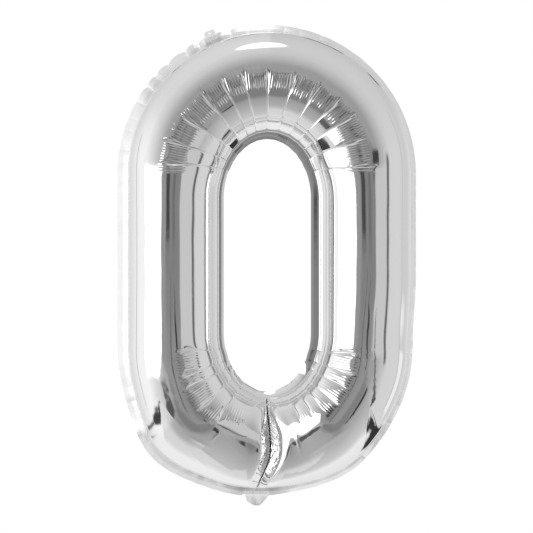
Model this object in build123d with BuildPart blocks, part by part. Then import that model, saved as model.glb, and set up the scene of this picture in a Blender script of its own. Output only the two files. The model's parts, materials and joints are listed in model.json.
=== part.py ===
from build123d import *
import os

# A foil number balloon in the shape of a zero, inflated and standing upright. All sizes in mm.
#
# The gas space is one tube bent round the figure, closed at the bottom by a divider weld, so the
# tube has two rounded ends that face each other across that weld. Two film panels, front and
# back, meet on the mid-plane y = 0 and are welded there along the outer edge, round the hole and
# down the divider. A two-film valve lies between the panels at the bottom. The filling tail and
# the hanging tab are parts of the same panels that fold about the edge, so each has its own nodes.
#
# Origin: the middle of the balloon's bounding box, at its lowest point (the tip of the tail).
# +Z is up, and the front of the figure faces -Y.

# film
FILM = 1.0                # thickness of the solid that stands for a panel's film
VALVE_FILM = 0.4          # thickness of the solid that stands for a valve film

# gas tube
TUBE_RADIUS = 83.0        # outer radius of the inflated tube's round section
RING_RADIUS = 174.0       # radius of the tube's centre line in both arches
TOP_ARCH_Z = 606.0        # height of the top arch's centre
LOW_ARCH_Z = 292.0        # height of the bottom arch's centre
LIMB_LENGTH = TOP_ARCH_Z - LOW_ARCH_Z

# divider weld between the tube's two ends
END_ANGLE = 2.6           # angle, in degrees, between the divider and each tube end
END_FILM_ANGLE = 0.64     # extra angle that leaves the film on the end faces
END_ROUND = 34.0          # rounding of the tube ends

# welded margins
EDGE_RADIUS = 273.0       # radius of the outer edge in both arches
HOLE_RADIUS = 80.0        # half the width of the hole
HOLE_TOP_Z = 590.0        # centre of the hole's top curve
HOLE_LOW_Z = 289.0        # centre of the hole's bottom curve

# folds: each flap's root is a straight line with a small gap on either side of the hinge axis
FOLD_GAP = 0.9            # distance from the hinge axis to the film on each side
FOLD_SIDE_GAP = 0.5       # gap beside the flap's root

# filling tail
TAIL_X = -18.0            # middle of the tail's tip
TAIL_ROOT_LEFT = -39.0
TAIL_ROOT_RIGHT = 5.0
TAIL_FOLD_Z = 21.2        # height of the hinge axis
TAIL_SHOULDER = (-36.0, 9.0)
TAIL_TIP_WIDTH = 13.0
TAIL_ROUND = 5.0

# self-sealing valve
VALVE_X = -24.0
VALVE_WIDTH = 28.0
VALVE_LENGTH = 142.0
VALVE_END_ROUND = 6.0

# hanging tab
TAB_TURN = 22.0           # degrees that the tab is turned to the left from the top
TAB_WIDTH = 20.0
TAB_LENGTH = 11.5
TAB_ROUND = 6.0
TAB_HOLE_RADIUS = 2.0
TAB_FOLD_RADIUS = 271.2   # distance of the hinge axis from the top arch's centre


def tube_form(radius, end_angle, end_round):
    """The closed tube of this section radius, with rounded ends on either side of the divider."""
    with BuildPart() as form:
        with BuildSketch(Plane.XY.offset(LOW_ARCH_Z)):
            with Locations((-RING_RADIUS, 0), (RING_RADIUS, 0)):
                Circle(radius)
        extrude(amount=LIMB_LENGTH)
        with BuildSketch(Plane.XY.offset(TOP_ARCH_Z)):
            with Locations((RING_RADIUS, 0)):
                Circle(radius)
        revolve(axis=Axis((0, 0, TOP_ARCH_Z), (0, -1, 0)), revolution_arc=180)
        for side in (-1, 1):
            with BuildSketch(Plane.XY.offset(LOW_ARCH_Z)):
                with Locations((side * RING_RADIUS, 0)):
                    Circle(radius)
            revolve(axis=Axis((0, 0, LOW_ARCH_Z), (0, side, 0)), revolution_arc=90 - end_angle)
        fillet(form.faces().filter_by(GeomType.PLANE).edges(), radius=end_round)
    return form.part


tab_plane = Plane((0, 0, TOP_ARCH_Z), x_dir=(1, 0, 0), z_dir=(0, -1, 0)).rotated((0, -TAB_TURN, 0))

outer_form = tube_form(TUBE_RADIUS, END_ANGLE, END_ROUND)
inner_form = tube_form(TUBE_RADIUS - FILM, END_ANGLE + END_FILM_ANGLE, END_ROUND - FILM)

# Both panels together: the flat welded margins, the tube's film, and the room for the valve.
with BuildPart() as envelope:
    with BuildSketch(Plane.XZ):
        with Locations((0, (TOP_ARCH_Z + LOW_ARCH_Z) / 2)):
            SlotCenterToCenter(LIMB_LENGTH, 2 * EDGE_RADIUS, rotation=90)
        with Locations((0, (HOLE_TOP_Z + HOLE_LOW_Z) / 2)):
            SlotCenterToCenter(
                HOLE_TOP_Z - HOLE_LOW_Z, 2 * HOLE_RADIUS, rotation=90, mode=Mode.SUBTRACT
            )
        # the straight root of the filling tail
        with Locations(((TAIL_ROOT_LEFT + TAIL_ROOT_RIGHT) / 2, 0)):
            Rectangle(
                TAIL_ROOT_RIGHT - TAIL_ROOT_LEFT + 2 * FOLD_SIDE_GAP,
                2 * (TAIL_FOLD_Z + FOLD_GAP),
                mode=Mode.SUBTRACT,
            )
    extrude(amount=FILM, both=True)
    # the straight root of the hanging tab
    with BuildSketch(tab_plane):
        with Locations((0, TAB_FOLD_RADIUS - FOLD_GAP)):
            Rectangle(
                TAB_WIDTH + 2 * FOLD_SIDE_GAP, TAB_LENGTH, align=(Align.CENTER, Align.MIN)
            )
    extrude(amount=2 * FILM, both=True, mode=Mode.SUBTRACT)
    add(outer_form)
    add(inner_form, mode=Mode.SUBTRACT)
    with BuildSketch(Plane.XZ):
        with Locations((VALVE_X, 0)):
            Rectangle(
                VALVE_WIDTH,
                TAIL_FOLD_Z + FOLD_GAP + VALVE_LENGTH,
                align=(Align.CENTER, Align.MIN),
            )
    extrude(amount=VALVE_FILM, both=True, mode=Mode.SUBTRACT)

with BuildPart() as front_panel:
    add(envelope.part)
    split(bisect_by=Plane.XZ, keep=Keep.TOP)

with BuildPart() as back_panel:
    add(envelope.part)
    split(bisect_by=Plane.XZ, keep=Keep.BOTTOM)


def valve_film(thickness):
    """One film of the valve. A positive thickness is on the front's side of the mid-plane."""
    with BuildPart() as film:
        with BuildSketch(Plane.XZ) as outline:
            with Locations((VALVE_X, TAIL_FOLD_Z + FOLD_GAP)):
                Rectangle(VALVE_WIDTH, VALVE_LENGTH, align=(Align.CENTER, Align.MIN))
            fillet(outline.vertices().group_by(Axis.Y)[-1], radius=VALVE_END_ROUND)
        extrude(amount=thickness)
    return film


def tail_film(thickness):
    """One layer of the filling tail, hanging from its fold line to its rounded tip."""
    with BuildPart() as film:
        with BuildSketch(Plane.XZ) as outline:
            with BuildLine():
                Polyline(
                    (TAIL_ROOT_LEFT, TAIL_FOLD_Z - FOLD_GAP),
                    TAIL_SHOULDER,
                    (TAIL_X - TAIL_TIP_WIDTH / 2, 0),
                    (TAIL_X + TAIL_TIP_WIDTH / 2, 0),
                    (TAIL_ROOT_RIGHT, TAIL_FOLD_Z - FOLD_GAP),
                    close=True,
                )
            make_face()
            fillet(outline.vertices().sort_by(Axis.Y)[:3], radius=TAIL_ROUND)
        extrude(amount=thickness)
    return film


def tab_film(thickness):
    """One layer of the hanging tab, with its punched hole."""
    with BuildPart() as film:
        with BuildSketch(tab_plane) as outline:
            with Locations((0, TAB_FOLD_RADIUS + FOLD_GAP)):
                Rectangle(TAB_WIDTH, TAB_LENGTH, align=(Align.CENTER, Align.MIN))
            fillet(outline.vertices().group_by(Axis.Y)[-1], radius=TAB_ROUND)
            with Locations((0, TAB_FOLD_RADIUS + FOLD_GAP + TAB_LENGTH / 2)):
                Circle(TAB_HOLE_RADIUS, mode=Mode.SUBTRACT)
        extrude(amount=thickness)
    return film


valve_front_film = valve_film(VALVE_FILM)
valve_back_film = valve_film(-VALVE_FILM)
fill_tail_front = tail_film(FILM)
fill_tail_back = tail_film(-FILM)
hang_tab_front = tab_film(FILM)
hang_tab_back = tab_film(-FILM)

pieces = {
    "front_panel": front_panel,
    "back_panel": back_panel,
    "valve_front_film": valve_front_film,
    "valve_back_film": valve_back_film,
    "fill_tail_front": fill_tail_front,
    "fill_tail_back": fill_tail_back,
    "hang_tab_front": hang_tab_front,
    "hang_tab_back": hang_tab_back,
}

os.makedirs("parts", exist_ok=True)
for name, piece in pieces.items():
    piece.part.label = name
    export_step(piece.part, f"parts/{name}.step")
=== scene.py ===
import json
import math

import bpy
import numpy as np
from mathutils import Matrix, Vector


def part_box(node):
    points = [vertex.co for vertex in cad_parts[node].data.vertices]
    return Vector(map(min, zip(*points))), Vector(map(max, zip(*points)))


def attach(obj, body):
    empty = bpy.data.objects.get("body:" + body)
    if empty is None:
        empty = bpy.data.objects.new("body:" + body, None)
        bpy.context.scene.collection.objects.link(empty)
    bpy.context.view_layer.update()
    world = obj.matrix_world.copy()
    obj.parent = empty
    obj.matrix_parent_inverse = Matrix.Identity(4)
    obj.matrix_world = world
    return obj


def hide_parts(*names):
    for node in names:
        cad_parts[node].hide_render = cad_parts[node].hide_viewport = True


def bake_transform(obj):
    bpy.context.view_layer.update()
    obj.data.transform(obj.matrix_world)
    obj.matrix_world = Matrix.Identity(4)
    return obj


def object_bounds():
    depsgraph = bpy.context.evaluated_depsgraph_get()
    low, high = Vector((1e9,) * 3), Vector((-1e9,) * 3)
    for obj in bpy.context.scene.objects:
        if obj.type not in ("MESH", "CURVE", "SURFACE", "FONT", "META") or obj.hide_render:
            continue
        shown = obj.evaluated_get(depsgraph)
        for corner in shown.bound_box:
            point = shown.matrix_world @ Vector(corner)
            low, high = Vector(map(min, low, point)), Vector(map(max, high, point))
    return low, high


# A silver foil number balloon in the shape of a zero. Each film panel is one surface: the welded
# margin round the hole, the inflated tube with its creases and gathers, and the outer welded margin.
# Lengths are millimetres until a mesh is made. Angles are radians where not named as degrees.

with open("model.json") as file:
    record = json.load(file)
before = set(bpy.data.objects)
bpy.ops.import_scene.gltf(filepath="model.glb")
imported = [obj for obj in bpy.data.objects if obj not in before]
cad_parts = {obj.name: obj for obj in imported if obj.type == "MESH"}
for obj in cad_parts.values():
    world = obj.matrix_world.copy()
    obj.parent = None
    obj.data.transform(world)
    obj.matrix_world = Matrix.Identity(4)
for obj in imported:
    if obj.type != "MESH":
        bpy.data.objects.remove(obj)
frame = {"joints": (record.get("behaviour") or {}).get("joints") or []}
cad_low, cad_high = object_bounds()
joints = {joint["name"]: joint for joint in frame["joints"]}

# ---------------------------------------------------------------- sizes
MM = 1000.0
EDGE = cad_high.x * MM                      # from an arch's centre to the outer cut edge
TOP_Z = 606.0                               # height of the top arch's centre
LOW_Z = 292.0                               # height of the bottom arch's centre
MID_Z = 476.0                               # height where the limbs are fullest
HOLE_SHIFT = 1.5                            # how far right of the middle the hole sits
HOLE_HALF = 79.5                            # half the hole's width
HOLE_END = 109.0                            # height of the hole's rounded ends
HOLE_TOP = 561.0                            # where the hole's top end begins
HOLE_LOW = 318.0                            # where the hole's bottom end begins
RING_RADIUS = 172.0                         # radius of the tube's crown in the arches
LIMB_DEPTH = 81.0                           # depth of each film at a limb's crown
ARCH_FLATTER = 10.5                         # how much less deep the arches are
OUTER_HALF = 80.0                           # from the crown to the outer seam, in the limbs
ARCH_WIDER = 8.0                            # how much wider that is in the arches
MARGIN_LEAN = 10.0                          # how far the outer margin lies back at its edge
FLAP_LEAN = 5.0                             # the same where the tail and the tab hang on
FILM = 0.5                                  # from the weld plane to each panel's film
FLAP_FILM = 0.2                             # the same for the tail's and the tab's layers
VALVE_FILM = 0.15                           # the same for the valve's films
FILM_SHINE = 0.87                           # share of light the silver film throws back

# where the long creases lie, in degrees: round from the right in the top arch,
# and out from straight down in the two halves of the bottom arch
TOP_CREASES = (3.3, 19.4, 33.7, 45.4, 59.1, 74.0, 89.0, 103.2, 115.2, 128.7, 146.0, 162.2, 174.4)
LEFT_CREASES = (33.0, 47.5, 62.5, 71.5, 88.0)
RIGHT_CREASES = (23.5, 33.5, 42.0, 51.5, 63.0, 73.0, 86.0)
END_TAPER = 0.33                            # how much less deep the tube is at its ends
FIRST_GATHER = 12.0                         # no gathers nearer the divider than this

ROWS_MARGIN_IN = 7
ROWS_IN = 82
ROWS_OUT = 66
ROWS_MARGIN_OUT = 10


def ramp(x, low, high):
    """0 below low, 1 above high, smooth between."""
    t = np.clip((x - low) / (high - low), 0, 1)
    return t * t * (3 - 2 * t)


def bump(x, centre, width):
    """A smooth hill of height 1."""
    return np.exp(-(((x - centre) / width) ** 2))


class Ring:
    """Sections of the tube in order: divider, left limb, top arch, right limb, divider."""

    def __init__(self):
        near = np.linspace(0, 1, 64) ** 1.35 * 15.0
        low = np.radians(np.concatenate([near[:-1], np.arange(15.0, 90.0, 0.27)]))
        top = np.radians(np.arange(180.0, 0.0, -0.26))
        limb = np.linspace(LOW_Z, TOP_Z, 90)
        quarter = math.pi / 2
        self.angle = np.concatenate([
            3 * quarter - low,
            np.full(len(limb) - 1, 2 * quarter),
            top,
            np.zeros(len(limb) - 1),
            low[::-1] - quarter,
        ])
        self.z = np.concatenate([
            np.full(len(low), LOW_Z),
            limb[:-1],
            np.full(len(top), TOP_Z),
            limb[:0:-1],
            np.full(len(low), LOW_Z),
        ])
        self.count = len(self.angle)
        self.left = np.arange(self.count) < self.count // 2
        self.cos = np.cos(self.angle)
        self.sin = np.sin(self.angle)
        self.is_top = np.zeros(self.count, bool)
        start = len(low) + len(limb) - 1
        self.is_top[start:start + len(top) + 1] = True
        self.is_low = np.zeros(self.count, bool)
        self.is_low[:len(low) + 1] = True
        self.is_low[-len(low):] = True
        down = np.arccos(np.clip(-self.sin, -1, 1))
        self.down = np.where(self.is_low, down, quarter)
        self.down_deg = np.degrees(self.down)
        self.deg = np.degrees(self.angle)
        self.measure_hole()
        self.measure_tube()

    def measure_hole(self):
        """Distance from each arch's centre line to the hole's edge."""
        rise = self.z - np.clip(self.z, HOLE_LOW, HOLE_TOP)
        a = (self.cos / HOLE_HALF) ** 2 + (self.sin / HOLE_END) ** 2
        b = rise * self.sin / HOLE_END ** 2 - HOLE_SHIFT * self.cos / HOLE_HALF ** 2
        c = (HOLE_SHIFT / HOLE_HALF) ** 2 + (rise / HOLE_END) ** 2 - 1
        self.hole = (np.sqrt(b * b - a * c) - b) / a

    def measure_tube(self):
        """Seams, crown and depth of each section."""
        low_left = 19.0 * bump(self.down_deg, 45, 17)
        low_right = 4.0 * bump(self.down_deg, 32, 14) - 6.0 * ramp(self.down_deg, 20, 70)
        low_edge = np.where(self.left, low_left, low_right)
        right_limb = np.where(self.left, 0.0, -6.0 * (1 - ramp(self.z, LOW_Z, LOW_Z + 130)))
        bulge = np.where(self.is_low, low_edge, np.where(self.is_top, 0.0, right_limb))
        self.margin_out = 15.5 - 6.0 * self.cos
        self.margin_in = 13.0 + 3.5 * self.cos + 1.0 * self.sin
        self.edge = EDGE + bulge
        self.seam_in = self.hole + self.margin_in
        self.seam_out = self.edge - self.margin_out
        round_top = (TOP_Z - MID_Z) + RING_RADIUS * np.arcsin(np.clip(self.sin, 0, 1))
        round_low = (MID_Z - LOW_Z) + RING_RADIUS * (math.pi / 2 - self.down)
        quarter_round = RING_RADIUS * math.pi / 2
        top_share = round_top / (TOP_Z - MID_Z + quarter_round)
        low_share = round_low / (MID_Z - LOW_Z + quarter_round)
        limb = self.z - MID_Z
        limb_share = np.where(
            limb > 0,
            limb / (TOP_Z - MID_Z + quarter_round),
            -limb / (MID_Z - LOW_Z + quarter_round),
        )
        share = np.where(self.is_top, top_share, np.where(self.is_low, low_share, limb_share))
        swell = (1 - np.cos(math.pi * share)) / 2
        self.depth = LIMB_DEPTH - ARCH_FLATTER * swell
        self.out_half = OUTER_HALF + ARCH_WIDER * swell + 0.5 * np.clip(bulge, 0, None)
        self.crown = self.seam_out - self.out_half
        self.in_half = self.crown - self.seam_in
        across = np.gradient(self.cos * RING_RADIUS)
        upward = np.gradient(self.z + self.sin * RING_RADIUS)
        step = np.hypot(across, upward)
        self.along = np.cumsum(step)


ring = Ring()


def divider_x(r):
    """The divider isn't straight: going down it swings right, then left at the bottom edge."""
    return 7.0 * bump(r, 178, 52) - 24.0 * ramp(r, 190, 290)


def place(r, push=1.0):
    """x and z at distance r along each station's line, pushed out to the flat bends."""
    bend = 1 - ramp(ring.down_deg, 2, 40)
    x = r * ring.cos[:, None] + divider_x(r) * bend[:, None]
    rise = r * ring.sin[:, None]
    return x * push, ring.z[:, None] + rise * push


# ---------------------------------------------------------------- folds in the film
def bends(top, low_left, low_right):
    """The flat bends between creases, as (stations, degrees, crease places) for each arch."""
    first, last = top[0], top[-1]
    return [
        (ring.is_top, ring.deg, (-first,) + tuple(top) + (360 - last,)),
        (ring.is_low & ring.left, ring.down_deg,
         (FIRST_GATHER,) + low_left + (180 - low_left[-1],)),
        (ring.is_low & ~ring.left, ring.down_deg,
         (FIRST_GATHER,) + low_right + (180 - low_right[-1],)),
    ]


def flat_push(groups):
    """How far each station is pushed out so that the film runs straight from crease to crease."""
    out = np.ones(ring.count)
    for stations, degrees, edges in groups:
        middles = [(a + b) / 2 for a, b in zip(edges, edges[1:])]
        halves = [(b - a) / 2 for a, b in zip(edges, edges[1:])]
        grow = np.ones(len(edges))
        for k in (0, len(edges) - 2):
            if middles[k] % 90 < 1e-6:
                # this bend meets a straight limb, so it keeps the limb's line
                grow[k:k + 2] = 1 / math.cos(math.radians(halves[k]))
        for k, (middle, half) in enumerate(zip(middles, halves)):
            inside = stations & (degrees >= edges[k] - 1e-6) & (degrees <= edges[k + 1] + 1e-6)
            share = (degrees[inside] - edges[k]) / (2 * half)
            level = grow[k] + (grow[k + 1] - grow[k]) * share
            away = np.radians(degrees[inside] - middle)
            out[inside] = level * math.cos(math.radians(half)) / np.cos(away)
    return out[:, None]


def cells(position, pitch, spread, rng):
    """Cuts a length into uneven cells: each point's cell, its place there (0 to 1) and their count."""
    count = int(np.ptp(position) / pitch) + 4
    walls = position.min() - pitch + np.cumsum(pitch * (1 + spread * rng.uniform(-1, 1, count)))
    cell = np.clip(np.searchsorted(walls, position) - 1, 0, count - 2)
    share = np.clip((position - walls[cell]) / (walls[cell + 1] - walls[cell]), 0, 1)
    return cell, share, count


def gathers(r, groups, reaches, rng):
    """Short parallel folds across every flat bend, each with its own reach and height."""
    out = np.zeros_like(r)
    for (stations, degrees, edges), reach_of in zip(groups, reaches):
        for first, last in zip(edges, edges[1:]):
            middle = (first + last) / 2
            inside = np.where(stations & (degrees >= first) & (degrees <= last))[0]
            near, far, size = reach_of(middle)
            if len(inside) == 0 or size == 0:
                continue
            rr = r[inside]
            across = rr * np.tan(np.radians(degrees[inside] - middle))[:, None]
            cell, share, count = cells(across, 4.8, 0.14, rng)
            low = near + rng.uniform(-7, 5) + rng.normal(0, 1.2, count)
            high = far + rng.uniform(-4, 3) + rng.normal(0, 1.2, count)
            height = size * rng.uniform(0.7, 1.1) * rng.uniform(0.6, 1.1, count)
            ridge = 0.5 - 0.5 * np.cos(2 * np.pi * share)
            reach = ramp(rr, low[cell], low[cell] + 8) * (1 - ramp(rr, high[cell] - 8, high[cell]))
            reach = reach * (1 - 0.3 * bump(rr, (near + far) / 2, 9))
            out[inside] += height[cell] * ridge * reach
    return out


def long_creases(r, groups, tips, rng):
    """The creases between flat bends: a fine line on the hole's side that opens to a narrow blade."""
    out = np.zeros_like(r)
    for (stations, degrees, edges), tip_of in zip(groups, tips):
        for place_deg in edges[1:-1]:
            end = tip_of(place_deg) + rng.uniform(-4, 4)
            widest = end - rng.uniform(20, 30)
            side = np.radians(degrees - place_deg)[:, None] * r
            lean = rng.choice([-1, 1])
            blade = ramp(r, widest - 32, widest) * (1 - ramp(r, widest, end)) ** 0.8
            width = 1.2 + 2.4 * blade
            depth = 0.7 * (1 - ramp(r, end - 24, end)) + rng.uniform(1.3, 1.7) * blade
            skew = side - 0.5 * lean * width * blade
            shaped = np.where(skew * lean < 0, width * (1 + 0.8 * blade), width * 0.8)
            near = stations[:, None] & (np.abs(side) < 20)
            out -= depth * np.exp(-np.abs(skew / shaped) ** 1.4) * near
    return out


def hole_fold(r, rng):
    """A fine fold that runs round the hole, crinkled where the tube bends."""
    off_seam = r - ring.seam_in[:, None]
    place_of = (11.0 + 12.0 * np.where(ring.is_top, ramp(ring.sin, 0.0, 0.6), 0.0))[:, None]
    fold = -0.8 * np.exp(-np.abs(off_seam - place_of) / 1.7)
    cell, share, count = cells(ring.along, 2.8, 0.3, rng)
    bent = np.where(ring.is_top | ring.is_low, 1.0, 0.0)
    height = rng.uniform(0.2, 1.0, count)[cell] * np.sin(np.pi * share) * bent
    return fold + 0.5 * height[:, None] * bump(off_seam, place_of - 4.5, 3.2)


def lip_spread(r):
    """The lips beside the divider are narrow at the hole and widen going down."""
    return 0.3 + 0.7 * ramp(r, 112, 165)


def cleft_gathers(r, gap, rng):
    """The lips beside the divider are gathered into short, uneven ridges that end in teeth."""
    out = np.zeros_like(r)
    for side, skew, width in ((ring.left, 0.5, 15.0), (~ring.left, -0.6, 18.0)):
        beside = np.where(side & ring.is_low & (ring.down_deg < 30))[0]
        lip = gap[beside]
        wander = 1.5 * np.sin(r[beside] / rng.uniform(7, 13) + lip / 5)
        cell, share, count = cells(r[beside] + lip * skew + wander, 4.8, 0.35, rng)
        height = rng.uniform(0.7, 1.9, count)
        extent = width * rng.uniform(0.75, 1.1, count)[cell] * lip_spread(r[beside])
        reach = ramp(lip, 0.5, 2.0) * (1 - ramp(lip, extent - 3, extent))
        out[beside] += height[cell] * np.sin(np.pi * share) * reach
    return out


def line_fold(x, z, start, end, width, height):
    """A straight fold from start to end, tapering away at both ends. A negative height is a valley."""
    reach = math.hypot(end[0] - start[0], end[1] - start[1])
    ux = (end[0] - start[0]) / reach
    uz = (end[1] - start[1]) / reach
    along = ((x - start[0]) * ux + (z - start[1]) * uz) / reach
    side = (x - start[0]) * uz - (z - start[1]) * ux
    taper = np.clip(4 * along * (1 - along), 0, 1)
    return height * taper * np.exp(-np.abs(side / width) ** 1.5)


def soft_dents(x, z, rng, pitch, height):
    """Slow, uneven waves in the tight film."""
    out = np.zeros_like(x)
    for _ in range(9):
        way = rng.uniform(0, math.pi)
        length = pitch * rng.uniform(0.6, 1.8)
        phase = 2 * np.pi * ((x * math.cos(way) + z * math.sin(way)) / length + rng.uniform())
        out += np.sin(phase + np.sin(phase * rng.uniform(0.2, 0.5)))
    return out * height / 3


# folds pulled across the lower corners: start, end, width, height
CORNER_FOLDS = [
    ((-196, 205), (-178, 100), 2.6, 0.3),
    ((-196, 206), (-140, 132), 2.6, 0.3),
    ((-140, 134), (-100, 112), 2.5, 0.5),
    ((-102, 122), (-82, 142), 2.6, 0.4),
    ((-82, 142), (-38, 88), 2.6, 0.3),
    ((-150, 120), (-96, 60), 2.6, 0.3),
    ((-128, 116), (-60, 66), 2.6, 0.3),
    ((188, 210), (174, 110), 2.6, 0.3),
    ((186, 190), (202, 140), 2.6, 0.3),
    ((150, 150), (70, 96), 3.0, 0.4),
    ((50, 150), (62, 96), 3.0, 0.6),
    # round the knot at the top of the divider
    ((-44, 210), (-2, 205), 2.2, 0.9),
    ((-36, 192), (-2, 204), 2.2, -0.9),
    ((-24, 180), (-2, 202), 2.2, 0.8),
    ((40, 214), (2, 206), 2.2, 0.9),
    ((36, 196), (2, 204), 2.2, -0.9),
    ((22, 180), (3, 202), 2.2, 0.8),
]


def tube(front, rng, groups, push, reaches, tips):
    """The inflated part of one panel, from the seam at the hole to the outer seam."""
    phi = np.concatenate([
        np.linspace(0, math.pi / 2, ROWS_IN, endpoint=False),
        np.linspace(math.pi / 2, math.pi, ROWS_OUT),
    ])[None, :]
    half = np.where(phi < math.pi / 2, ring.in_half[:, None], ring.out_half[:, None])
    r = ring.crown[:, None] - half * np.cos(phi)
    # distance from the divider, which is far from everything outside the bottom arch
    gap = np.where(ring.is_low[:, None], r * ring.down[:, None], 1000.0)
    # the tube's ends: a slit at the divider, a sloping lip, then the rounded end
    spread = lip_spread(r)
    lip_width = np.where(ring.left, 15.0, 17.0)[:, None] * spread
    lip_rise = np.where(ring.left, 0.40, 0.17)[:, None] * spread
    lip = lip_rise * np.clip((gap - 1) / (lip_width - 1), 0, 1)
    rounded = np.sqrt(1 - (1 - np.clip((gap - lip_width) / 22.0, 0, 1)) ** 2.2)
    closing = ramp(gap, 0, 0.9) * (0.5 * ramp(gap, -0.6, 1.6) + lip + (0.5 - lip_rise) * rounded)
    # both ends of the tube narrow towards the divider
    closing = closing * (1 - END_TAPER * (1 - ramp(ring.down_deg, 5, 42)))[:, None]
    y = FILM + ring.depth[:, None] * np.sin(phi) * closing
    fade = np.where(ring.is_top[:, None], 1 - ramp(r, 150, 196), 1 - ramp(r, 124, 172))
    x, z = place(r, push ** fade)
    points = np.stack([x, -y, z], axis=-1)
    normal = np.cross(np.gradient(points, axis=1), np.gradient(points, axis=0))
    normal /= np.linalg.norm(normal, axis=-1, keepdims=True) + 1e-9
    if normal[ring.count // 2, ROWS_IN, 1] > 0:
        normal = -normal
    calm = np.where(ring.is_low, ramp(ring.down_deg, 14, 24), 1.0)[:, None]
    height = gathers(r, groups, reaches, rng) * calm
    height += long_creases(r, groups, tips, rng)
    height += hole_fold(r, rng)
    height += cleft_gathers(r, gap, rng)
    height += soft_dents(x, z, rng, 60.0, 0.07)
    low_corner = ramp(r, 150, 190) * np.where(ring.is_low, 1.0, 0.0)[:, None] * ramp(gap, 20, 50)
    height += soft_dents(x, z, rng, 16.0, 0.015) * low_corner
    flip = 1 if front else -1
    for start, end, width, rise in CORNER_FOLDS:
        height += line_fold(x * flip, z, start, end, width, rise)
    height *= np.sin(phi) ** 0.25
    return points + normal * height[..., None]


def margins(front, push):
    """The two welded margins of one panel: round the hole, and outside the tube."""
    share = np.linspace(0, 1, ROWS_MARGIN_IN + 1)[None, :-1]
    x, z = place(ring.hole[:, None] + ring.margin_in[:, None] * share, push)
    low_lean = np.where(ring.is_low, 7.0 * ramp(-ring.sin, 0.3, 0.9), 0.0)[:, None]
    lie = 1.6 * (1 - share) ** 2 + low_lean * (1 - share) ** 1.2
    y = (lie if front else -lie) - FILM
    inner = np.stack([x, y + 0 * x, z], axis=-1)

    # the same draws for both panels, so that their cut edges match
    rng = np.random.default_rng(5)
    share = np.linspace(0, 1, ROWS_MARGIN_OUT + 1)[None, 1:]
    cell, place_in, count = cells(ring.along, 21.0, 0.3, rng)
    scallop = np.sin(np.pi * place_in) ** 0.6
    curl = rng.uniform(-1, 1, count)[cell] * np.sin(np.pi * place_in)
    ruffle = np.where(ring.is_top, bump(ring.deg, 128, 22), 0.0)
    width = ring.margin_out * (1 - (0.03 + 0.28 * ruffle) * (1 - scallop))
    # straight notches leave room for the filling tail and the hanging tab
    tail_off = ring.cos * ring.seam_out + divider_x(ring.seam_out) - TAIL_MIDDLE
    in_tail = ring.is_low & (np.abs(tail_off) < TAIL_HALF + 0.5)
    tail_limit = (LOW_Z - TAIL_TOP) / np.cos(ring.down)
    turn = ring.angle - math.pi / 2 - TAB_TURN
    tab_off = (TAB_FOLD - TAB_GAP) * np.tan(np.clip(turn, -1, 1))
    in_tab = ring.is_top & (np.abs(tab_off) < TAB_HALF + 0.5)
    tab_limit = (TAB_FOLD - TAB_GAP) / np.cos(turn)
    width = np.where(in_tail, np.minimum(width, tail_limit - ring.seam_out), width)
    width = np.where(in_tab, np.minimum(width, tab_limit - ring.seam_out), width)
    x, z = place(ring.seam_out[:, None] + width[:, None] * share)
    near_tail = np.where(ring.is_low, 1 - ramp(np.abs(tail_off), TAIL_HALF + 4, TAIL_HALF + 50), 0.0)
    near_tab = np.where(ring.is_top, 1 - ramp(np.abs(tab_off), TAB_HALF + 1, TAB_HALF + 14), 0.0)
    left_limb = ramp(-ring.cos, 0.80, 1.0) * 8.0
    lean = MARGIN_LEAN + left_limb + (1.6 + 4.0 * ruffle) * curl
    lean = lean + (FLAP_LEAN - lean) * np.maximum(near_tail, near_tab)
    lie = lean[:, None] * share ** 1.1
    weld = (0.25 + 0.35 * ramp(np.abs(ring.cos), 0.7, 1.0))[:, None] * bump(share, 0.5, 0.08)
    puff = 0.6 * scallop[:, None] * np.sin(np.pi * share)
    crimped = ramp(np.sin(ring.along / 37.0) + np.sin(ring.along / 23.0 + 1.0), 0.2, 1.0)
    crimp = 0.22 * (crimped * np.sin(ring.along * 2 * np.pi / 3.4))[:, None] * np.sin(np.pi * share)
    y = (lie if front else -lie) - FILM * (1 - 0.6 * share) - weld - puff - crimp
    outer = np.stack([x, y, z], axis=-1)
    return inner, outer


def sheet(name, grid, flip=False, closed=False):
    """A mesh from a grid of points, one face between each four neighbours."""
    rows, columns = grid.shape[:2]
    last = rows if closed else rows - 1
    i = np.arange(last)[:, None]
    j = np.arange(columns - 1)[None, :]
    here = i * columns + j
    beside = ((i + 1) % rows) * columns + j
    quads = np.stack([here, here + 1, beside + 1, beside], axis=-1).reshape(-1, 4)
    if flip:
        quads = quads[:, ::-1]
    mesh = bpy.data.meshes.new(name)
    mesh.vertices.add(rows * columns)
    mesh.vertices.foreach_set("co", (grid.reshape(-1) / MM).astype(np.float32))
    mesh.loops.add(quads.size)
    mesh.loops.foreach_set("vertex_index", quads.astype(np.int32).ravel())
    mesh.polygons.add(len(quads))
    mesh.polygons.foreach_set("loop_start", np.arange(0, quads.size, 4, dtype=np.int32))
    mesh.polygons.foreach_set("use_smooth", np.ones(len(quads), dtype=bool))
    mesh.update(calc_edges=True)
    mesh.validate()
    obj = bpy.data.objects.new(name, mesh)
    bpy.context.collection.objects.link(obj)
    return obj


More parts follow.
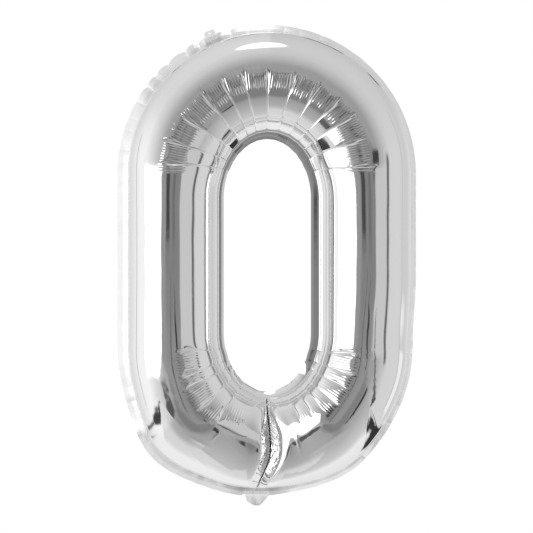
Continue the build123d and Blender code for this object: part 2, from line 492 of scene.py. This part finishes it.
def panel(name, front, seed, creases, reaches, tips):
    """One whole film panel as a single surface."""
    rng = np.random.default_rng(seed)
    groups = bends(*creases)
    push = flat_push(groups)
    inner, outer = margins(front, push)
    grid = np.concatenate([inner, tube(front, rng, groups, push, reaches, tips), outer], axis=1)
    if not front:
        grid[..., 1] *= -1
    piece = sheet(name, grid, flip=not front)
    # the outer welded margin takes the second material
    column = np.arange(grid.shape[1] - 1)
    welded = column >= grid.shape[1] - 1 - ROWS_MARGIN_OUT
    index = np.tile(welded, ring.count - 1).astype(np.int32)
    piece.data.polygons.foreach_set("material_index", index)
    return piece


# ---------------------------------------------------------------- filling tail and hanging tab
tail_low, tail_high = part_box("fill_tail_front")
TAIL_MIDDLE = (tail_low.x + tail_high.x) / 2 * MM
TAIL_HALF = (tail_high.x - tail_low.x) / 2 * MM
TAIL_FOLD = joints["fill_tail_fold"]["pos_m"][2] * MM
TAIL_TOP = 2 * TAIL_FOLD - tail_high.z * MM
TAIL_SHOULDER_Z = 9.0                       # where the tail's left edge turns in to the tip
TAIL_SHOULDER_X = -36.0
TAIL_TIP = 13.0                             # width of the tail's tip
TAIL_TIP_X = -18.0
TAIL_ROUND = 5.0
TAB_AXIS = joints["hang_tab_fold"]["axis"]
TAB_TURN = math.atan2(TAB_AXIS[2], TAB_AXIS[0])
tab_fold_at = joints["hang_tab_fold"]["pos_m"]
TAB_FOLD = math.hypot(tab_fold_at[0] * MM, tab_fold_at[2] * MM - TOP_Z)
TAB_GAP = 0.9                               # from the hinge line to the cut edge of the margin
TAB_HALF = 10.0
TAB_LENGTH = 11.5
TAB_ROUND = 6.0
TAB_HOLE = 2.0
VALVE_ROUND = 6.0


def tail(name, side):
    """One layer of the filling tail. side is -1 for the front layer and 1 for the back."""
    z = np.linspace(TAIL_TOP, 0, 36)[:, None]
    left = np.interp(z, [0, TAIL_SHOULDER_Z, tail_high.z * MM],
                     [TAIL_TIP_X - TAIL_TIP / 2, TAIL_SHOULDER_X, tail_low.x * MM])
    right = np.interp(z, [0, tail_high.z * MM], [TAIL_TIP_X + TAIL_TIP / 2, tail_high.x * MM])
    rounded = TAIL_ROUND - np.sqrt(TAIL_ROUND ** 2 - np.clip(TAIL_ROUND - z, 0, TAIL_ROUND) ** 2)
    share = np.linspace(0, 1, 30)[None, :]
    x = left + rounded + (right - left - 2 * rounded) * share
    hang = TAIL_TOP - z
    curl = 0.8 * hang - 0.01 * hang ** 2
    ripple = 0.5 * np.sin(x / 3.3 + 0.8) * ramp(hang, 2, 10) * np.sin(np.pi * share)
    y = side * FLAP_FILM + FLAP_LEAN + curl + ripple
    grid = np.stack([x, y, z + 0 * x], axis=-1)
    return sheet(name, grid, flip=side > 0)


def tab(name, side):
    """One layer of the hanging tab with its punched hole, as a ring of film round the hole."""
    around = np.linspace(0, 2 * math.pi, 72, endpoint=False)
    middle = TAB_FOLD + TAB_GAP + TAB_LENGTH / 2
    bottom = TAB_FOLD - TAB_GAP
    top = TAB_FOLD + TAB_GAP + TAB_LENGTH
    near = np.full(len(around), TAB_HOLE)
    far = np.full(len(around), 20.0)
    for _ in range(30):
        reach = (near + far) / 2
        u = np.abs(reach * np.cos(around))
        v = middle + reach * np.sin(around)
        corner = np.hypot(
            np.clip(u - TAB_HALF + TAB_ROUND, 0, None),
            np.clip(v - top + TAB_ROUND, 0, None),
        )
        outside = (u > TAB_HALF) | (v > top) | (v < bottom) | (corner > TAB_ROUND)
        far = np.where(outside, reach, far)
        near = np.where(outside, near, reach)
    share = np.linspace(0, 1, 12)[None, :]
    reach = TAB_HOLE + (near - TAB_HOLE)[:, None] * share
    u = reach * np.cos(around)[:, None]
    v = middle + reach * np.sin(around)[:, None]
    x = u * math.cos(TAB_TURN) - v * math.sin(TAB_TURN)
    z = TOP_Z + u * math.sin(TAB_TURN) + v * math.cos(TAB_TURN)
    y = side * FLAP_FILM + FLAP_LEAN + (v - bottom) + 0.5 * np.sin(u / 2.2) * ramp(v, bottom, top)
    return sheet(name, np.stack([x, y, z], axis=-1), flip=side < 0, closed=True)


def valve_layer(name, node, side):
    """One film of the valve, which follows the lean of the margin that it passes through."""
    low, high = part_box(node)
    z = np.linspace(low.z * MM, high.z * MM, 60)[:, None]
    middle = (low.x + high.x) / 2 * MM
    round_off = VALVE_ROUND - np.sqrt(
        VALVE_ROUND ** 2 - np.clip(z - high.z * MM + VALVE_ROUND, 0, VALVE_ROUND) ** 2
    )
    half = (high.x - low.x) / 2 * MM - round_off
    x = middle + half * np.linspace(-1, 1, 12)[None, :]
    seam_z = LOW_Z - ring.seam_out[0]
    share = np.clip((seam_z - z) / (seam_z - TAIL_TOP), 0, 1)
    y = side * VALVE_FILM + FLAP_LEAN * share ** 1.1
    return sheet(name, np.stack([x, y + 0 * x, z + 0 * x], axis=-1), flip=side < 0)


# ---------------------------------------------------------------- materials
def film_material(name, colour, rough, waviness):
    """Silver film: a mirror with faint waves and a little uneven haze."""
    mat = bpy.data.materials.new(name)
    mat.use_nodes = True
    nodes = mat.node_tree.nodes
    links = mat.node_tree.links
    surface = nodes["Principled BSDF"]
    surface.inputs["Base Color"].default_value = (*colour, 1)
    surface.inputs["Metallic"].default_value = 1.0
    coord = nodes.new("ShaderNodeTexCoord")
    haze = nodes.new("ShaderNodeTexNoise")
    haze.inputs["Scale"].default_value = 14.0
    haze.inputs["Detail"].default_value = 3.0
    links.new(coord.outputs["Object"], haze.inputs["Vector"])
    spread = nodes.new("ShaderNodeMapRange")
    spread.inputs["From Min"].default_value = 0.35
    spread.inputs["From Max"].default_value = 0.70
    spread.inputs["To Min"].default_value = rough
    spread.inputs["To Max"].default_value = rough * 2.2
    links.new(haze.outputs["Fac"], spread.inputs["Value"])
    links.new(spread.outputs[0], surface.inputs["Roughness"])
    waves = nodes.new("ShaderNodeTexNoise")
    waves.inputs["Scale"].default_value = 45.0
    waves.inputs["Detail"].default_value = 1.0
    links.new(coord.outputs["Object"], waves.inputs["Vector"])
    relief = nodes.new("ShaderNodeBump")
    relief.inputs["Strength"].default_value = waviness
    relief.inputs["Distance"].default_value = 0.001
    links.new(waves.outputs["Fac"], relief.inputs["Height"])
    links.new(relief.outputs["Normal"], surface.inputs["Normal"])
    return mat


def valve_material():
    """Milky plastic film."""
    mat = bpy.data.materials.new("valve_film")
    mat.use_nodes = True
    nodes = mat.node_tree.nodes
    links = mat.node_tree.links
    surface = nodes["Principled BSDF"]
    haze = nodes.new("ShaderNodeTexNoise")
    haze.inputs["Scale"].default_value = 60.0
    tint = nodes.new("ShaderNodeValToRGB")
    tint.color_ramp.elements[0].color = (0.72, 0.74, 0.76, 1)
    tint.color_ramp.elements[1].color = (0.86, 0.87, 0.88, 1)
    links.new(haze.outputs["Fac"], tint.inputs[0])
    links.new(tint.outputs[0], surface.inputs["Base Color"])
    spread = nodes.new("ShaderNodeMapRange")
    spread.inputs["To Min"].default_value = 0.25
    spread.inputs["To Max"].default_value = 0.45
    links.new(haze.outputs["Fac"], spread.inputs["Value"])
    links.new(spread.outputs[0], surface.inputs["Roughness"])
    return mat


# ---------------------------------------------------------------- the balloon
# A reach is where a bend's gathers start and end, and their height, from the bend's middle in degrees.
# A tip is where a long crease ends, from its place in degrees.
def top_reach(middle):
    return 146, 190, 0.55


def left_reach(middle):
    far = 152 + 18 * float(ramp(middle, 28, 42)) - 8 * float(ramp(middle, 55, 80))
    return 118, far, 0.42 * (middle > 22)


def right_reach(middle):
    return 118, 147 + 20 * float(ramp(middle, 36, 52)), 0.30 * (middle > 22)


def top_tip(place_deg):
    return 194


def left_tip(place_deg):
    return left_reach(place_deg)[1] + 2


def right_tip(place_deg):
    return right_reach(place_deg)[1] + 2


silver = film_material("silver_film", (FILM_SHINE,) * 3, 0.045, 0.05)
silver_weld = film_material("silver_weld", (0.92, 0.92, 0.92), 0.20, 0.10)
silver_tail = film_material("silver_film_tail", (0.92, 0.92, 0.92), 0.16, 0.12)
front_creases = (TOP_CREASES, LEFT_CREASES, RIGHT_CREASES)
back_creases = (tuple(180 - place for place in TOP_CREASES[::-1]), RIGHT_CREASES, LEFT_CREASES)
front_film = panel("front_film", True, 11, front_creases,
                   (top_reach, left_reach, right_reach), (top_tip, left_tip, right_tip))
back_film = panel("back_film", False, 23, back_creases,
                  (top_reach, right_reach, left_reach), (top_tip, right_tip, left_tip))
for piece, node in ((front_film, "front_panel"), (back_film, "back_panel")):
    piece.data.materials.append(silver)
    piece.data.materials.append(silver_weld)
    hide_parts(node)
    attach(piece, "balloon")

BEND = 8.0                                  # length of film that bends at a fold line
tail_start = (TAIL_MIDDLE / MM, 0, TAIL_TOP / MM)
tail_end = (TAIL_MIDDLE / MM, 0, (TAIL_TOP - BEND) / MM)
tab_out = (-math.sin(TAB_TURN), math.cos(TAB_TURN))
tab_start = (tab_out[0] * (TAB_FOLD - TAB_GAP) / MM, 0,
             (TOP_Z + tab_out[1] * (TAB_FOLD - TAB_GAP)) / MM)
tab_end = (tab_start[0] + tab_out[0] * BEND / 2 / MM, 0, tab_start[2] + tab_out[1] * BEND / 2 / MM)
for make, flap, start, end in (
    (tail, "fill_tail", tail_start, tail_end),
    (tab, "hang_tab", tab_start, tab_end),
):
    for layer, side in (("front", -1), ("back", 1)):
        piece = make(f"{flap}_{layer}_film", side)
        piece.data.materials.append(silver_tail)
        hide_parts(f"{flap}_{layer}")
        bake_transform(piece)

valve = valve_material()
for layer, side in (("front", -1), ("back", 1)):
    piece = valve_layer(f"valve_{layer}", f"valve_{layer}_film", side)
    piece.data.materials.append(valve)
    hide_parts(f"valve_{layer}_film")
    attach(piece, "balloon")

# ---------------------------------------------------------------- studio
DEGREES = math.degrees(1)                   # degrees in a radian
LAMP_TONE = 1.2                             # past plain white


def tone(level):
    """Light needed from the studio for the film to look this bright, on a scale from 0 to 1."""
    return ((level + 0.055) / 1.055) ** 2.4 / FILM_SHINE


class Studio:
    """The room as light by direction, given in degrees by two angles.

    off is the angle away from the line to the camera, 0 to 180. tilt is how far the direction is rolled
    up from level, -90 to 90, on the left or on the right. A level patch uses turn, to the right of the
    camera, and rise instead.
    """

    def __init__(self):
        world = bpy.data.worlds.new("studio")
        bpy.context.scene.world = world
        world.use_nodes = True
        self.tree = world.node_tree
        self.tree.nodes.clear()
        coord = self.tree.nodes.new("ShaderNodeTexCoord")
        parts = self.tree.nodes.new("ShaderNodeSeparateXYZ")
        self.tree.links.new(coord.outputs["Generated"], parts.inputs[0])
        x, y, z = parts.outputs
        self.x = x
        self.z = z
        to_camera = self.math("MULTIPLY", y, -1.0)
        self.off = self.math("MULTIPLY", self.math("ARCCOSINE", to_camera), DEGREES)
        self.tilt = self.math("MULTIPLY", self.math("ARCTAN2", z, self.math("ABSOLUTE", x)), DEGREES)
        self.turn = self.math("MULTIPLY", self.math("ARCTAN2", x, to_camera), DEGREES)
        self.rise = self.math("MULTIPLY", self.math("ARCSINE", z), DEGREES)
        self.right = self.step(x, -0.01, 0.01)
        self.left = self.math("SUBTRACT", 1.0, self.right)
        self.level = None

    def plug(self, socket, value):
        """Gives an input a number or another node's output."""
        if isinstance(value, (int, float)):
            socket.default_value = value
        else:
            self.tree.links.new(value, socket)

    def math(self, operation, a, b=None):
        node = self.tree.nodes.new("ShaderNodeMath")
        node.operation = operation
        self.plug(node.inputs[0], a)
        if b is not None:
            self.plug(node.inputs[1], b)
        return node.outputs[0]

    def step(self, value, low, high):
        """0 at low, 1 at high, smooth between. low may be the larger."""
        node = self.tree.nodes.new("ShaderNodeMapRange")
        node.interpolation_type = "SMOOTHSTEP"
        self.plug(node.inputs["Value"], value)
        node.inputs["From Min"].default_value = low
        node.inputs["From Max"].default_value = high
        return node.outputs[0]

    def curve(self, points):
        """A brightness that follows points (off, tone) with straight pieces between."""
        node = self.tree.nodes.new("ShaderNodeValToRGB")
        node.color_ramp.interpolation = "LINEAR"
        self.plug(node.inputs[0], self.math("DIVIDE", self.off, 180))
        stops = node.color_ramp.elements
        while len(stops) < len(points):
            stops.new(0.5)
        for stop, (off, level) in zip(stops, points):
            stop.position = off / 180
        for stop, (off, level) in zip(stops, points):
            stop.color = (tone(level),) * 3 + (1,)
        return node.outputs[0]

    def mix(self, mask, a, b):
        node = self.tree.nodes.new("ShaderNodeMix")
        node.data_type = "FLOAT"
        self.plug(node.inputs[0], mask)
        self.plug(node.inputs[2], a)
        self.plug(node.inputs[3], b)
        return node.outputs[0]

    def patch(self, level, corners, soft, across, up, mask):
        """Paints a flat brightness inside a convex outline of (across, up) corners, where mask is 1."""
        middle_a = sum(corner[0] for corner in corners) / len(corners)
        middle_u = sum(corner[1] for corner in corners) / len(corners)
        for (start_a, start_u), (end_a, end_u) in zip(corners, corners[1:] + corners[:1]):
            length = math.hypot(end_a - start_a, end_u - start_u)
            inward_a = (end_u - start_u) / length
            inward_u = (start_a - end_a) / length
            if inward_a * (middle_a - start_a) + inward_u * (middle_u - start_u) < 0:
                inward_a = -inward_a
                inward_u = -inward_u
            place_in = self.math(
                "ADD", self.math("MULTIPLY", across, inward_a), self.math("MULTIPLY", up, inward_u)
            )
            edge = inward_a * start_a + inward_u * start_u
            mask = self.math("MULTIPLY", mask, self.step(place_in, edge - soft, edge + soft))
        self.level = self.mix(mask, self.level, tone(level))

    def level_patch(self, level, corners, soft):
        """A patch given by turn and rise."""
        self.patch(level, corners, soft, self.turn, self.rise, 1.0)

    def rolled_patch(self, level, corners, soft, side):
        """A patch given by off and tilt on one side."""
        self.patch(level, corners, soft, self.off, self.tilt, side)

    def finish(self):
        """The film sees the room. The camera sees plain white."""
        nodes = self.tree.nodes
        room_light = nodes.new("ShaderNodeBackground")
        self.plug(room_light.inputs["Color"], self.level)
        white = nodes.new("ShaderNodeBackground")
        white.inputs["Color"].default_value = (1, 1, 1, 1)
        path = nodes.new("ShaderNodeLightPath")
        choose = nodes.new("ShaderNodeMixShader")
        self.plug(choose.inputs[0], path.outputs["Is Camera Ray"])
        self.plug(choose.inputs[1], room_light.outputs[0])
        self.plug(choose.inputs[2], white.outputs[0])
        out = nodes.new("ShaderNodeOutputWorld")
        self.plug(out.inputs["Surface"], choose.outputs[0])


def paint_walls(room):
    """Walls, ceiling and floor, dim round the camera and lighter away from it."""
    above_left = room.curve([(0, 0.61), (30, 0.60), (42, 0.69), (55, 0.78), (75, 0.84), (100, 0.84),
                             (130, 0.81), (180, 0.77)])
    above_right = room.curve([(0, 0.62), (30, 0.60), (42, 0.70), (55, 0.77), (75, 0.80), (100, 0.79),
                              (130, 0.76), (180, 0.74)])
    level_left = room.curve([(0, 0.58), (20, 0.60), (75, 0.96), (90, 0.955), (110, 0.92), (130, 0.87),
                             (160, 0.82), (180, 0.82)])
    level_right = room.curve([(0, 0.60), (30, 0.62), (50, 0.76), (62, 0.82), (90, 0.825), (120, 0.79),
                              (150, 0.85), (180, 0.84)])
    below_left = room.curve([(0, 0.52), (12, 0.49), (25, 0.48), (31, 0.62), (47, 0.68), (58, 0.83),
                             (75, 0.84), (90, 0.93), (180, 0.90)])
    below_right = room.curve([(0, 0.52), (12, 0.51), (25, 0.49), (32, 0.61), (51, 0.70), (61, 0.74),
                              (76, 0.79), (90, 0.92), (180, 0.85)])
    up = room.step(room.tilt, 10, 45)
    down = room.step(room.tilt, -31, -39)
    left = room.mix(down, room.mix(up, level_left, above_left), below_left)
    right = room.mix(down, room.mix(up, level_right, above_right), below_right)
    room.level = room.mix(room.right, left, right)


def paint_level_things(room):
    """What stands at the balloon's own height."""
    # behind the camera
    room.level_patch(0.57, [(-27, -8), (-27, 12), (19.5, 12), (19.5, -7), (10, -13), (-14, -13)], 1.8)
    room.level_patch(0.50, [(-15, -6), (-15, 11), (19, 11), (19, -6)], 4.0)
    # the white window on the left, with a frame
    room.level_patch(1.25, [(-74, -16), (-74, 8), (-27, 8), (-27, -7), (-40, -15)], 1.2)
    room.level_patch(0.90, [(-76.5, -14), (-76.5, 14), (-74.5, 14), (-74.5, -14)], 0.8)
    # the light wall on the right, with a dark post at its end
    room.level_patch(0.77, [(20, -6), (20, 8), (52, 9), (52, -10), (28, -9)], 1.2)
    room.level_patch(0.40, [(50.0, -12), (50.0, 12), (56.0, 12), (56.0, -12)], 1.5)
    # a white screen behind on the right, and two thin posts
    room.level_patch(0.93, [(103, -30), (103, -5), (120, -5), (120, -30)], 1.5)
    room.level_patch(0.72, [(100, -30), (100, 30), (102.5, 30), (102.5, -30)], 0.8)
    room.level_patch(0.74, [(-106, -20), (-106, 20), (-103, 20), (-103, -20)], 1.0)


def paint_dark_things(room):
    """Gaps, slots and corners that look near-black in the film."""
    right = room.right
    left = room.left
    # gaps beside the floor
    room.rolled_patch(0.22, [(25, -14), (28, -14), (42, -26), (39, -27)], 0.9, right)
    room.rolled_patch(0.22, [(39, -27), (42, -25.5), (61, -30.5), (58, -33)], 0.9, right)
    room.rolled_patch(0.20, [(57, -31), (68, -35), (104, -35.5), (104, -39), (64, -39)], 1.0, right)
    room.rolled_patch(0.20, [(102, -35.5), (145, -36), (145, -45), (126, -45.5), (102, -39)], 1.0, right)
    room.rolled_patch(0.28, [(46, -30.5), (46, -33.5), (180, -31.5), (180, -34.5)], 1.2, left)
    room.rolled_patch(0.33, [(30, -29), (40, -25), (46, -29), (42, -34), (34, -37), (28, -35)], 1.0, left)
    room.rolled_patch(0.24, [(56, -23), (66, -22.6), (80, -22.8), (93, -24.3), (92, -26.8), (80, -28.5),
                             (60, -27.5)], 0.8, left)
    room.rolled_patch(0.35, [(93, -24.5), (93, -26.5), (136, -28), (136, -26)], 0.8, left)
    # a skirting between the dark side and the pale floor
    room.rolled_patch(0.20, [(28, -34), (32.5, -34), (32.5, -44), (28.5, -49)], 0.8, right)
    # a corner high on the right
    room.rolled_patch(0.22, [(16, 25), (19, 31), (34, 22), (31, 17)], 1.5, right)
    # slots above the camera
    room.level_patch(0.27, [(-14, 1.0), (-13, 22), (-7, 22), (-5, 1.0)], 1.4)
    room.level_patch(0.42, [(2, 0.5), (2, 16), (7, 16), (8, 0.5)], 2.0)
    # spots low on either side of the camera
    room.rolled_patch(0.18, [(2, -50), (2, -58), (13, -60), (11, -52)], 1.5, left)
    room.rolled_patch(0.20, [(5.5, -27.6), (12.3, -27.6), (14.5, -40.4), (7.7, -40.4)], 1.3, right)
    # strips behind the balloon, seen along its seam: side, lowest and highest tilt, softness
    for side, low, high, soft in ((left, 64, 86, 1.5), (left, 49, 53, 1.0),
                                  (right, 61, 77, 1.5), (right, 43, 49, 1.0)):
        room.rolled_patch(0.30, [(143, low), (143, high), (180, high), (180, low)], soft, side)


def paint_lamp(room):
    """An oval lamp overhead."""
    across = room.math("POWER", room.math("DIVIDE", room.math("ADD", room.x, 0.06), 0.165), 2.0)
    to_camera = room.math("COSINE", room.math("DIVIDE", room.off, DEGREES))
    along = room.math("POWER", room.math("DIVIDE", room.math("SUBTRACT", to_camera, 0.17), 0.14), 2.0)
    radius = room.math("SQRT", room.math("ADD", across, along))
    inside = room.math("SUBTRACT", 1.0, room.step(radius, 0.85, 1.2))
    mask = room.math("MULTIPLY", inside, room.step(room.z, 0.5, 0.6))
    room.level = room.mix(mask, room.level, tone(LAMP_TONE))


room = Studio()
paint_walls(room)
paint_level_things(room)
paint_dark_things(room)
paint_lamp(room)
room.finish()


def make_floor(half, z):
    """A plain pale floor that the camera sees as white and the film doesn't mirror."""
    mesh = bpy.data.meshes.new("floor")
    mesh.from_pydata([(-half, -half, z), (half, -half, z), (half, half, z), (-half, half, z)], [],
                     [(0, 1, 2, 3)])
    floor = bpy.data.objects.new("floor", mesh)
    bpy.context.collection.objects.link(floor)
    mat = bpy.data.materials.new("floor")
    mat.use_nodes = True
    nodes = mat.node_tree.nodes
    links = mat.node_tree.links
    surface = nodes["Principled BSDF"]
    surface.inputs["Base Color"].default_value = (0.85, 0.85, 0.85, 1)
    surface.inputs["Roughness"].default_value = 0.8
    glow = nodes.new("ShaderNodeEmission")
    glow.inputs["Color"].default_value = (1, 1, 1, 1)
    path = nodes.new("ShaderNodeLightPath")
    choose = nodes.new("ShaderNodeMixShader")
    links.new(path.outputs["Is Camera Ray"], choose.inputs[0])
    links.new(surface.outputs[0], choose.inputs[1])
    links.new(glow.outputs[0], choose.inputs[2])
    links.new(choose.outputs[0], nodes["Material Output"].inputs["Surface"])
    mesh.materials.append(mat)
    floor.visible_glossy = False


make_floor(8, -0.002)
bpy.context.scene.view_settings.view_transform = "Standard"

# ---------------------------------------------------------------- camera
EYE_DISTANCE = 3.6                          # metres, like the next two
EYE_HEIGHT = 0.4375
VIEW_WIDTH = 0.971126                       # width of the view at the weld plane

cam_data = bpy.data.cameras.new("camera")
cam_data.sensor_width = 36.0
cam_data.lens = cam_data.sensor_width * EYE_DISTANCE / VIEW_WIDTH
cam = bpy.data.objects.new("camera", cam_data)
cam.location = (0.0, -EYE_DISTANCE, EYE_HEIGHT)
cam.rotation_euler = (math.pi / 2, 0, 0)
bpy.context.collection.objects.link(cam)
bpy.context.scene.camera = cam
